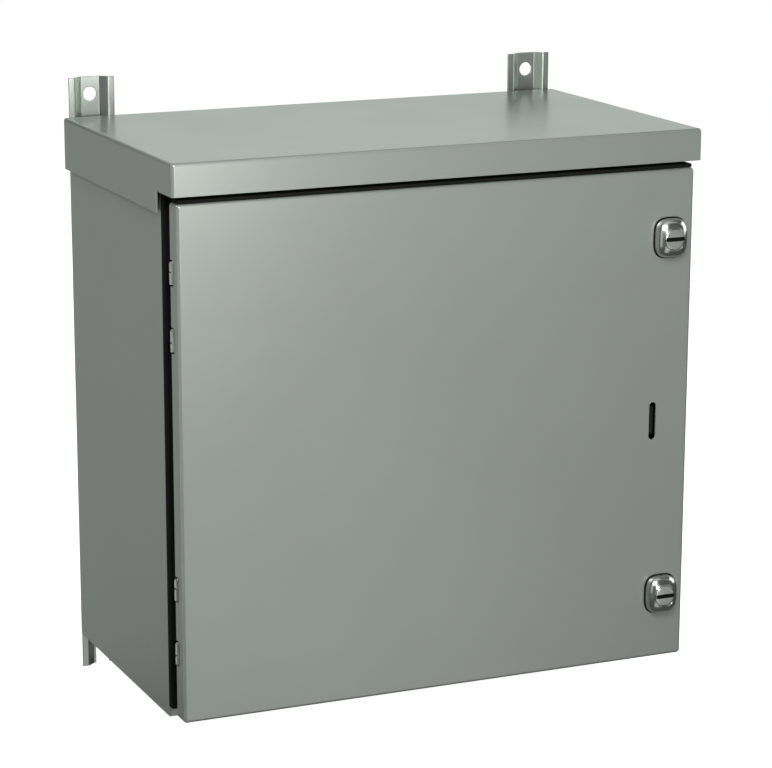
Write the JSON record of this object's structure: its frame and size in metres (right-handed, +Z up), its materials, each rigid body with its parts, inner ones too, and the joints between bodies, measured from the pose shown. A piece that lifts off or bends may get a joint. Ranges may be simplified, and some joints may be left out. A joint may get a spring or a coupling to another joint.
{
  "type": "switchboard cabinet",
  "caption": "Wall-hung rainproof switchboard cabinet with a drip hood, a side-hinged door with coin-slot latches, a slide-out padlock staple and an inner equipment panel.",
  "frame": {"origin": "bottom centre of the outer box, midway between the latches' fronts and the wall brackets' backs, level with the bottom of the lower brackets", "axes": "+X to the viewer's right across the door, +Y back to the wall, +Z up; the door faces -Y"},
  "size_m": [0.5178, 0.3184, 0.5849],
  "materials": {
    "painted_steel": "semi-gloss grey powder coat",
    "black_rubber": "matt black foam rubber",
    "zinc_steel": "zinc plated",
    "black_steel": "matt black stove enamel",
    "chrome": "chrome plated die casting",
    "white_steel": "semi-gloss white enamel"
  },
  "bodies": {
    "cabinet": {"body_wrapper": "painted_steel", "body_side_left": "painted_steel", "body_side_right": "painted_steel", "frame_seal": "black_rubber", "drip_hood": "painted_steel", "wall_bracket_top_left": "painted_steel", "wall_bracket_top_right": "painted_steel", "wall_bracket_bottom_left": "painted_steel", "wall_bracket_bottom_right": "painted_steel", "hinge_upper_body_leaf": "zinc_steel", "hinge_upper_pin_top": "zinc_steel", "hinge_upper_pin_bottom": "zinc_steel", "hinge_lower_body_leaf": "zinc_steel", "hinge_lower_pin_top": "zinc_steel", "hinge_lower_pin_bottom": "zinc_steel", "mounting_panel": "white_steel", "panel_stud_1": "zinc_steel", "panel_stud_2": "zinc_steel", "panel_stud_3": "zinc_steel", "panel_stud_4": "zinc_steel", "panel_nut_1": "zinc_steel", "panel_nut_2": "zinc_steel", "panel_nut_3": "zinc_steel", "panel_nut_4": "zinc_steel", "body_earth_stud": "zinc_steel", "body_earth_washer": "zinc_steel", "body_earth_nut": "zinc_steel", "staple_guide": "black_steel"},
    "door": {"door_panel": "painted_steel", "door_gasket": "black_rubber", "door_top_seal": "black_rubber", "hinge_upper_door_leaf": "zinc_steel", "hinge_lower_door_leaf": "zinc_steel", "door_earth_stud": "zinc_steel", "door_earth_washer": "zinc_steel", "door_earth_nut": "zinc_steel", "latch_upper_cap": "chrome", "latch_upper_gasket": "black_rubber", "latch_upper_nut": "zinc_steel", "latch_lower_cap": "chrome", "latch_lower_gasket": "black_rubber", "latch_lower_nut": "zinc_steel"},
    "latch_upper": {"latch_upper_driver": "chrome", "latch_upper_cam": "zinc_steel", "latch_upper_cam_nut": "zinc_steel"},
    "latch_lower": {"latch_lower_driver": "chrome", "latch_lower_cam": "zinc_steel", "latch_lower_cam_nut": "zinc_steel"},
    "staple": {"padlock_staple": "black_steel"}
  },
  "joints": [
    {"name": "door_hinge", "type": "hinge", "parent": "cabinet", "child": "door", "pos_m": [-0.2529, -0.13185, 0.2761], "axis": [0, 0, -1], "range_deg": [0, 180]},
    {"name": "latch_upper_turn", "type": "hinge", "parent": "door", "child": "latch_upper", "pos_m": [0.2288, -0.14665, 0.4483], "axis": [0, -1, 0], "range_deg": [0, 90]},
    {"name": "latch_lower_turn", "type": "hinge", "parent": "door", "child": "latch_lower", "pos_m": [0.2288, -0.14665, 0.104], "axis": [0, -1, 0], "range_deg": [0, 90]},
    {"name": "staple_slide", "type": "slide", "parent": "cabinet", "child": "staple", "axis": [0, -1, 0], "range_m": [0, 0.03]}
  ]
}
